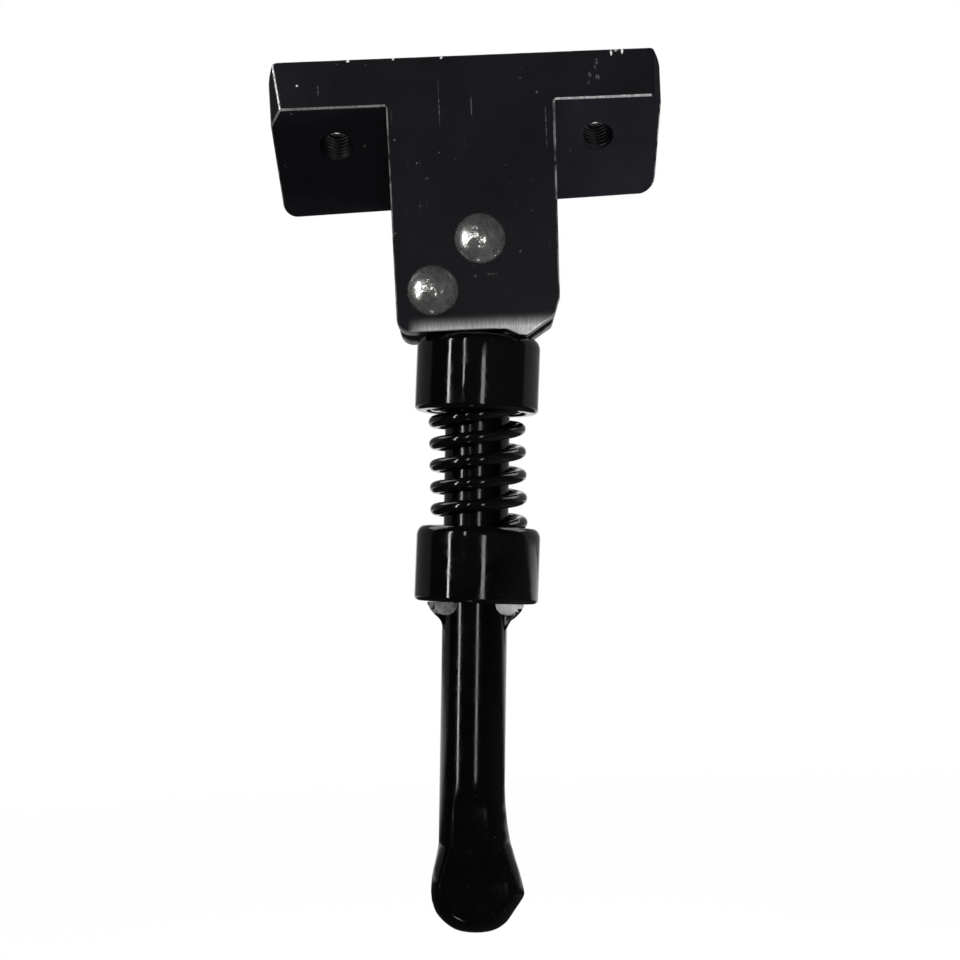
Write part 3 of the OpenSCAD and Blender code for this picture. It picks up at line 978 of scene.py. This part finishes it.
# Where the foot's middle moves over, and where it gets its crown
SHIFT_FROM, SHIFT_TO = 158, 168
CROWN_FROM, CROWN_TO = 140, 156.8
TINY = 1e-6


def foot_width(drop, straight, toe):
    """Half width of the bar or foot on one side."""
    if drop < TOE:
        return interpolate(straight, drop)
    return interpolate(toe, math.sqrt(FOOT_END - drop))


def bar_section(drop, count):
    """Points round the bar, ears or foot at a distance below the pivot, from its right side."""
    left = foot_width(drop, FOOT_LEFT, TOE_LEFT)
    right = foot_width(drop, FOOT_RIGHT, TOE_RIGHT)
    middle = (right - left) / 2 * smooth_step(SHIFT_FROM, SHIFT_TO, drop)
    depth = BAR_R + (FOOT_CROWN - BAR_R) * smooth_step(CROWN_FROM, CROWN_TO, drop)
    past = (drop - (FOOT_END - FOOT_ROUND)) / FOOT_ROUND
    if past > 0:
        depth *= math.sqrt(max(0.0, 1 - past * past))
    flat = interpolate(FLAT_DEPTH, drop)
    ears = COLLAR_UNDERSIDE < drop < EAR_END
    points = []
    for j in range(count):
        turn = 2 * math.pi * j / count
        cos, sin = math.cos(turn), math.sin(turn)
        width = right - middle if cos > 0 else left + middle
        if depth < TINY:
            radius = 0.0
        else:
            radius = 1 / math.sqrt((cos / max(width, TINY)) ** 2 + (sin / depth) ** 2)
            if abs(sin) > TINY:
                pressed = (flat / abs(sin)) ** -FOOT_CREASE
                radius = (radius**-FOOT_CREASE + pressed) ** (-1 / FOOT_CREASE)
        if ears:
            radius = ear_radius(drop, cos, sin, radius)
        points.append((middle + radius * cos, radius * sin, -drop))
    return points


def punch_middle(side):
    """Distance from the bar's axis to the middle of the punch mark on one side."""
    return PUNCH_RIGHT if side > 0 else PUNCH_LEFT


def ear_radius(drop, cos, sin, radius):
    """Reach of the bar's section at the staked ears and the punch marks."""
    across, depth = abs(cos), abs(sin)
    reach = interpolate(EAR_RIGHT if cos > 0 else EAR_LEFT, drop)
    middle = punch_middle(cos)
    if across > EAR_SIDE:
        ear = reach / across
        if depth > TINY:
            face = ((EAR_HALF_T + EAR_MARGIN) / depth) ** -EAR_CREASE
            ear = (ear**-EAR_CREASE + face) ** (-1 / EAR_CREASE)
        radius = max(radius, ear)
    below = drop - COLLAR_UNDERSIDE
    if below < PUNCH_R and across > EAR_SIDE and depth > TINY:
        half = math.sqrt(PUNCH_R**2 - below**2)
        inner = max(EAR_HALF_T / depth, (middle - half) / across)
        if inner < radius and inner * across < middle + half:
            radius = inner
    return radius


# The punch mark's floor: how near its faces lie, where it starts, and how far past its rim it counts
FLOOR_MARGIN, FLOOR_INNER, RIM_MARGIN = 0.08, 4.2, 0.05


def in_punch(point):
    """Whether a point of the leg's frame lies on the floor of a punch mark."""
    below = -point.z - COLLAR_UNDERSIDE
    return (
        abs(abs(point.y) - EAR_HALF_T) < FLOOR_MARGIN
        and abs(point.x) > FLOOR_INNER
        and math.hypot(abs(point.x) - punch_middle(point.x), below) < PUNCH_R + RIM_MARGIN
        and -point.z > COLLAR_UNDERSIDE
    )


def leg_rows():
    """Distances below the pivot at which the bar's sections lie, denser at the ears and foot."""
    rows = [28.0, 28.2, 60.0, 85.0, COLLAR_UNDERSIDE - 0.02]
    rows += [COLLAR_UNDERSIDE + 0.02 + 0.14 * i for i in range(51)]
    rows += [100.0, 110.0, 120.0, 128.0]
    rows += [130 + 0.5 * i for i in range(int((TOE - 130) / 0.5))]
    toe = math.sqrt(FOOT_END - TOE)
    rows += [FOOT_END - (toe * (1 - i / 60)) ** 2 for i in range(60)]
    return rows


def make_leg():
    """Bar, ears and foot as one skin of sections, joined to the tongue."""
    count = 320
    rows = leg_rows()
    vertices = [p for drop in rows for p in bar_section(drop, count)]
    faces = grid_faces(len(rows), count)
    faces.append(tuple(range(count)))
    vertices.append((TOE_RIGHT[0][1], 0, -FOOT_END))
    last = (len(rows) - 1) * count
    faces += [(last + j, last + (j + 1) % count, len(vertices) - 1) for j in range(count)]
    obj = mesh_from("leg_bar", vertices, faces)
    clean_mesh(obj)
    combine(obj, make_tongue(), "UNION")
    for polygon in obj.data.polygons:
        polygon.material_index = 1 if in_punch(polygon.center) else 0
    shade(obj, 50)
    place_mesh(obj, LEG_FRAME)
    finish_piece(obj, "leg", "leg_paint", [LEG_PAINT, PUNCH_METAL], "leg")


def make_tongue():
    """The bar's flattened upper end, round about the pivot, with its bore."""
    radius = BAR_R - 0.02
    overlap = 3
    past = 20
    reach = math.acos(TONGUE_HALF / radius)
    outline = []
    for side in (1, -1):
        outline += [
            (side * radius * math.cos(t), side * radius * math.sin(t))
            for t in [-(math.pi / 2 - reach) + (math.pi - 2 * reach) * i / 16 for i in range(17)]
        ]
    ends = (-TONGUE_DROP - overlap, 0)
    tongue = prism("tongue", *([(x, y, z) for x, y in outline] for z in ends))
    clean_mesh(tongue)
    for name, r, end, segments, operation in (
        ("disc", radius, TONGUE_HALF, 96, "UNION"),
        ("bore", PIVOT_BORE_R, past, 64, "DIFFERENCE"),
    ):
        tool = lathe(name, [(0, -end), (r, -end), (r, end), (0, end)], segments)
        tool.data.transform(Matrix.Rotation(math.radians(90), 4, "X"))
        combine(tongue, tool, operation)
    return tongue


# Collars and spring, in the leg's frame


def make_collar(node, name, body, ends, shift):
    """A ring with round outer edges, tilted on the bar and shifted along X as in the photograph."""
    top, low = -ends[0], -ends[1]
    lip = 0.5
    if node == "upper_collar":
        inner = [
            (COLLAR_BORE_R, low + RECESS_H), (RECESS_R, low + RECESS_H),
            (RECESS_R, low + 0.2), (RECESS_R + 0.2, low),
        ]
        outer = [(COLLAR_BORE_R + lip, top), (COLLAR_BORE_R, top - lip)]
    else:
        inner = [(COLLAR_BORE_R, low + lip), (COLLAR_BORE_R + lip, low)]
        outer = [
            (SEAT_R + 0.1, top - 0.05), (SEAT_R, top - 0.3),
            (SEAT_R, top - SEAT_H), (COLLAR_BORE_R, top - SEAT_H),
        ]
    profile = inner + arc(COLLAR_R - COLLAR_LOW_R, low + COLLAR_LOW_R, COLLAR_LOW_R, -90, 0, 10)
    for r, z in arc(0, 0, 1, 0, 90, 16):
        profile.append((COLLAR_R - COLLAR_TOP_W * (1 - r), top - COLLAR_TOP_H * (1 - z)))
    obj = lathe(name, profile + outer, 192, closed=True)
    middle = Vector((0, 0, (top + low) / 2))
    tilt = (
        Matrix.Translation(middle + Vector((shift, 0, 0)))
        @ Matrix.Rotation(COLLAR_TILT, 4, "Y")
        @ Matrix.Translation(-middle)
    )
    shade(obj)
    place_mesh(obj, LEG_FRAME @ tilt)
    finish_piece(obj, body, "collar_paint", [COLLAR_PAINT], node)


# How far the coil's turns lean to the side and the front at its top, and how much less at its foot
LEAN_SIDE, LEAN_SIDE_LESS = 1.0, 0.4
LEAN_FRONT, LEAN_FRONT_LESS = 0.8, 0.73
# The lean starts over this share of a turn
LEAN_START = 0.6
# The wire's end sinks from this share of a turn early, with the square of the way
SINK_EARLY, SINK_RATE = 0.1, 22
# Where the coil's middle lies at its top, and how far right it moves down to its foot
COIL_SHIFT, COIL_SHIFT_MORE = -0.2, 0.95


def coil_point(turns):
    """Middle of the wire, a number of turns past the last open one, leaning as in the photograph."""
    turn = -2 * math.pi * turns
    cos, sin = math.cos(turn), math.sin(turn)
    drop = COIL_LOW + (COIL_LOW - COIL_TOP) / OPEN_TURNS * turns
    down = max(0.0, (drop - COIL_TOP) / (COIL_LOW - COIL_TOP))
    # The closed turn at the top lies on the next one
    drop = max(drop, COIL_TOP + CLOSED_RISE * (turns + OPEN_TURNS))
    lean = smooth_step(0, LEAN_START, -turns)
    drop -= sin * (LEAN_SIDE - LEAN_SIDE_LESS * down) * lean
    drop -= cos * (LEAN_FRONT - LEAN_FRONT_LESS * down) * lean
    # The last stretch sinks into the lower collar's seat
    drop += SINK_RATE * max(0.0, turns + SINK_EARLY) ** 2
    shift = COIL_SHIFT + COIL_SHIFT_MORE * down
    return Vector((COIL_R * cos + shift, COIL_R * sin, -drop))


def make_spring():
    """The coil, from the upper collar's recess down to the end that lies on the lower collar."""
    steps = 72
    sides = 24
    total = CLOSED_TURNS + OPEN_TURNS + END_TURNS
    rings = int(total * steps) + 1
    vertices = []
    for i in range(rings):
        turns = total * i / (rings - 1) - OPEN_TURNS - CLOSED_TURNS
        centre = coil_point(turns)
        along = (coil_point(turns + 0.002) - coil_point(turns - 0.002)).normalized()
        out = Vector((centre.x, centre.y, 0)).normalized()
        up = along.cross(out).normalized()
        out = up.cross(along).normalized()
        radius = WIRE_R * (END_RIM if i in (0, rings - 1) else 1.0)
        for j in range(sides):
            around = 2 * math.pi * j / sides
            vertices.append(centre + radius * (out * math.cos(around) + up * math.sin(around)))
    faces = grid_faces(rings, sides)
    faces.append(tuple(range(sides)))
    faces.append(tuple(reversed(range((rings - 1) * sides, rings * sides))))
    obj = mesh_from("coil_spring", vertices, faces)
    clean_mesh(obj)
    shade(obj, 60)
    place_mesh(obj, LEG_FRAME)
    finish_piece(obj, "leg", "spring_wire", [SPRING_COAT], "spring")
    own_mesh(obj)


# Camera, lamps and floor

# The camera looks along +Y and slightly up, and rolls a little, as the photograph does
FOCAL_PX = 1800.0
IMAGE_PX = 960.0
SENSOR = 36.0
HORIZON_PX = 85
PITCH = math.atan(HORIZON_PX / FOCAL_PX)
ROLL = math.radians(2.35)
# The pivot's place to the right of the camera, above it and ahead of it
PIVOT_IN_VIEW = Vector((0.0, 58.38, 452.25)) * MM
# The middle of the object, which the lamps look at
AIM = Vector((0, 0, -0.09))


def make_camera():
    upright = Vector((0, math.cos(PITCH), math.sin(PITCH)))
    right = Vector((1, 0, 0))
    x_axis = right * math.cos(ROLL) + upright * math.sin(ROLL)
    y_axis = Vector((0, -math.sin(PITCH), math.cos(PITCH)))
    z_axis = upright * math.cos(ROLL) - right * math.sin(ROLL)
    # Rows of this matrix are the camera's right, up and forward in the part's frame
    view = Matrix((x_axis, y_axis, z_axis)).transposed()
    right, up, forward = view[0], view[1], view[2]
    eye = PIVOT - (right * PIVOT_IN_VIEW.x + up * PIVOT_IN_VIEW.y + forward * PIVOT_IN_VIEW.z)
    data = bpy.data.cameras.new("camera")
    data.sensor_width = SENSOR
    data.lens = FOCAL_PX / IMAGE_PX * SENSOR
    data.clip_start = 0.01
    data.clip_end = 50
    cam = bpy.data.objects.new("camera", data)
    turn = Matrix((right, up, -forward)).transposed()
    cam.matrix_world = Matrix.Translation(eye) @ turn.to_4x4()
    bpy.context.scene.collection.objects.link(cam)
    bpy.context.scene.camera = cam


def make_softbox(name, azimuth, elevation, distance, width, height, radiance, in_gloss):
    """A lamp that looks at the object. Azimuth 0 is towards the viewer and 90 is to the right."""
    turn, rise = math.radians(azimuth), math.radians(elevation)
    way = Vector((math.sin(turn) * math.cos(rise), -math.cos(turn) * math.cos(rise), math.sin(rise)))
    data = bpy.data.lights.new(name, "AREA")
    data.shape = "RECTANGLE"
    data.size = width
    data.size_y = height
    data.energy = radiance * math.pi * width * height
    lamp = bpy.data.objects.new(name, data)
    lamp.location = AIM + way * distance
    lamp.rotation_mode = "QUATERNION"
    lamp.rotation_quaternion = (-way).to_track_quat("-Z", "Y")
    lamp.visible_camera = False
    lamp.visible_glossy = in_gloss
    bpy.context.scene.collection.objects.link(lamp)


# Name, azimuth, elevation, distance, width, height, radiance, and whether it shows in gloss
LAMPS = [
    ("strip_left", -53.5, 12, 0.9, 0.06, 0.70, 26, True),
    ("strip_middle", -25, 21.5, 0.8, 0.035, 0.42, 15, True),
    ("strip_front", 10.5, -3, 0.55, 0.06, 0.25, 8, True),
    ("key", -28, 50, 1.0, 0.6, 0.5, 3.8, False),
    ("fill", 38, 45, 1.0, 0.6, 0.6, 2.0, False),
    ("low_right", 93, -34, 0.28, 0.16, 0.08, 90, False),
    ("low_card", -27, -66, 0.172, 0.013, 0.013, 9, True),
    ("back", 180, 55, 1.0, 0.8, 0.6, 4, True),
    ("side_left", -115, 48, 1.0, 0.5, 0.5, 3, True),
    ("side_right", 115, 48, 1.0, 0.5, 0.5, 3, True),
]
WHITE = (1, 1, 1, 1)
# The room's own light, and what it adds behind the object and in front of it
ROOM_LIGHT, BACK_LIGHT, FRONT_LIGHT = 0.02, 0.24, 0.05
# The floor's colour for the camera and in gloss, and what diffuse rays see on top of the second
FLOOR_PALE, FLOOR_GLOSS, FLOOR_DIFFUSE = 0.8, 0.03, 0.3
FLOOR_DROP = 0.06
FLOOR_HALF = 3.0


def seen_as_backdrop(nodes, behind):
    """1 for the camera, also through glass, and in gloss only for what is behind the object."""
    path = nodes.new("ShaderNodeLightPath").outputs
    straight = nodes.largest(path["Is Camera Ray"], path["Is Transmission Ray"])
    return nodes.largest(straight, nodes.times(path["Is Glossy Ray"], behind))


def make_world():
    """A white backdrop for the camera, in a dim room that is lighter behind the object."""
    world = bpy.data.worlds.new("studio")
    bpy.context.scene.world = world
    world.use_nodes = True
    world.node_tree.nodes.clear()
    nodes = Nodes(world.node_tree)
    way = nodes.new("ShaderNodeTexCoord").outputs["Generated"]
    way = nodes.new("ShaderNodeSeparateXYZ", Vector=way).outputs
    back = nodes.smooth_ramp(way["Y"], 0.06, 0.16, 0.0, BACK_LIGHT)
    front = nodes.smooth_ramp(way["Y"], -0.4, -0.9, 0.0, FRONT_LIGHT)
    room = nodes.math("ADD", nodes.math("ADD", back, front), ROOM_LIGHT)
    room = nodes.times(room, nodes.smooth_ramp(way["X"], -0.9, 0.9, 0.8, 1.2))
    dim = nodes.new("ShaderNodeBackground", Color=WHITE, Strength=room)
    white = nodes.new("ShaderNodeBackground", Color=WHITE, Strength=1.0)
    seen = seen_as_backdrop(nodes, nodes.smooth_ramp(way["Y"], 0.88, 0.97))
    nodes.new("ShaderNodeOutputWorld", Surface=nodes.mix_shader(seen, dim, white))


def make_floor():
    """A floor that is pale for the camera, throws up less light, and is dark in gloss in front."""
    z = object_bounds()[0][2] - FLOOR_DROP
    corners = [(x * FLOOR_HALF, y * FLOOR_HALF, z) for x, y in ((-1, -1), (1, -1), (1, 1), (-1, 1))]
    floor = mesh_from("floor", corners, [(0, 1, 2, 3)])
    material = bpy.data.materials.new("floor")
    material.use_nodes = True
    nodes = Nodes(material.node_tree)
    place = nodes.new("ShaderNodeTexCoord").outputs["Object"]
    depth = nodes.new("ShaderNodeSeparateXYZ", Vector=place).outputs["Y"]
    seen = seen_as_backdrop(nodes, nodes.smooth_ramp(depth, 0.5, 1.0))
    diffuse = nodes.new("ShaderNodeLightPath").outputs["Is Diffuse Ray"]
    thrown = nodes.math("ADD", nodes.times(diffuse, FLOOR_DIFFUSE), FLOOR_GLOSS)
    shader = nodes.tree.nodes["Principled BSDF"]
    nodes.link(nodes.ramp(seen, 0.0, 1.0, thrown, FLOOR_PALE), shader.inputs["Base Color"])
    shader.inputs["Roughness"].default_value = 1.0
    shader.inputs["Specular IOR Level"].default_value = 0.0
    # It shows its shadow near the object and turns into the white backdrop further out
    reach = nodes.vector_math("LENGTH", place, (0, 0, 0))
    far = nodes.smooth_ramp(reach, 0.30, 0.95, 0.84, 1.0)
    white = nodes.new("ShaderNodeEmission", Color=WHITE, Strength=1.0)
    surface = nodes.mix_shader(nodes.times(far, seen), shader, white)
    nodes.link(surface, nodes.tree.nodes["Material Output"].inputs["Surface"])
    floor.data.materials.append(material)


make_bracket()
make_rivet("pivot_rivet", "pivot_rivet_body", PIVOT_SHANK_R, seed=0.0)
make_rivet("stop_rivet", "stop_rivet_body", STOP_SHANK_R, seed=5.0)
make_leg()
make_collar("upper_collar", "upper_collar_ring", "slider", UPPER_COLLAR, shift=-0.1)
make_collar("lower_collar", "lower_collar_ring", "leg", LOWER_COLLAR, shift=0.5)
make_spring()

make_camera()
make_world()
make_floor()
for lamp in LAMPS:
    make_softbox(*lamp)

bpy.context.scene.view_settings.view_transform = "Standard"
